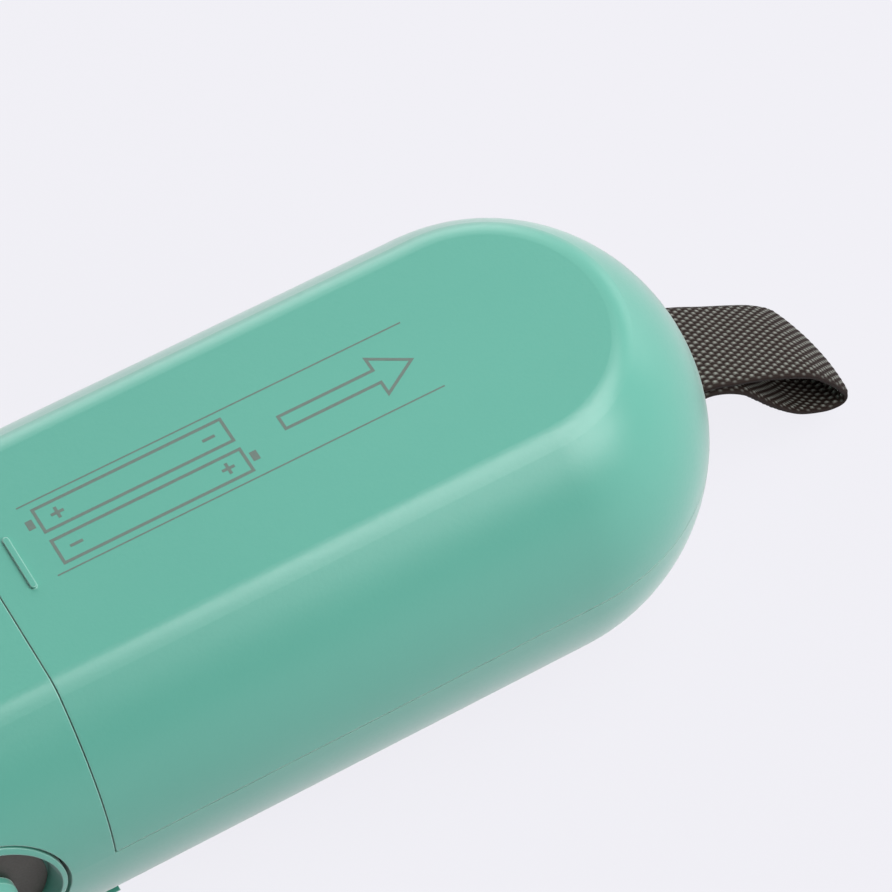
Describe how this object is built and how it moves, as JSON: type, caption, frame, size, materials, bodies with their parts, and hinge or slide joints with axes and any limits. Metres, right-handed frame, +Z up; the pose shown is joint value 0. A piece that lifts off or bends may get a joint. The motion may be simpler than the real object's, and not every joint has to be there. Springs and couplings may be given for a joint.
{
  "type": "mini bag sealer",
  "caption": "Palm-sized rounded bag sealer in mint plastic with a sprung press lever, a heated jaw, a slide-off battery cover and a webbing loop.",
  "frame": {"origin": "centre of the part's box at its lowest point, under the press lever", "axes": "+X from the jaw to the strap end, along the body; +Z up out of the flat label face; +Y across the body, along the lever's hinge"},
  "size_m": [0.1244, 0.036, 0.0306],
  "materials": {
    "mint_abs": "fine moulded satin",
    "black_abs": "moulded",
    "screw_steel": "zinc plated",
    "cell_can": "printed sleeve, plain",
    "nickel_plate": "nickel plated spring steel",
    "pale_nylon": "moulded, glass filled",
    "ceramic": "unglazed ceramic",
    "nichrome": "rolled ribbon",
    "brass": "machined",
    "woven_strip": "coated glass cloth",
    "red_nylon": "moulded",
    "dark_steel": "blackened",
    "silicone": "moulded",
    "lead_red": "extruded sleeve",
    "lead_white": "extruded sleeve",
    "lead_black": "extruded sleeve",
    "webbing": "woven polyester webbing"
  },
  "bodies": {
    "housing": {"main_housing": "mint_abs", "battery_tray": "black_abs", "tray_screws": "screw_steel", "aa_cell_left": "cell_can", "aa_cell_right": "cell_can", "contact_positive": "nickel_plate", "contact_negative": "nickel_plate", "contact_bridge": "nickel_plate", "contact_springs": "nickel_plate", "jaw_frame": "pale_nylon", "jaw_screws": "screw_steel", "heater_base": "ceramic", "heater_ribbon": "nichrome", "heater_terminals": "brass", "heater_cover_strip": "woven_strip", "switch_body": "black_abs", "switch_terminals": "brass", "return_springs": "screw_steel", "hinge_pins": "dark_steel", "hinge_caps": "mint_abs", "lead_battery": "lead_red", "lead_switch": "lead_white", "lead_return": "lead_black", "strap_pin": "screw_steel", "strap_loop": "webbing"},
    "cover": {"battery_cover": "mint_abs"},
    "lever": {"press_lever": "mint_abs", "pad_carrier": "black_abs", "silicone_pad": "silicone", "carrier_screws": "screw_steel"},
    "plunger": {"switch_plunger": "red_nylon"}
  },
  "joints": [
    {"name": "lever_hinge", "type": "hinge", "parent": "housing", "child": "lever", "pos_m": [-0.0252, 0, 0.0154], "axis": [0, 1, 0], "range_deg": [0, 12], "stiffness_Nm_per_rad": 0.12, "springref_deg": -20.05, "deforming": ["return_springs"]},
    {"name": "cover_slide", "type": "slide", "parent": "housing", "child": "cover", "axis": [1, 0, 0], "range_m": [0, 0.066]},
    {"name": "plunger_slide", "type": "slide", "parent": "housing", "child": "plunger", "axis": [0, 0, 1], "range_m": [0, 0.00105]}
  ],
  "couplings": [
    {"joint": "plunger_slide", "follows": "lever_hinge", "m_per_rad": 0.005}
  ]
}
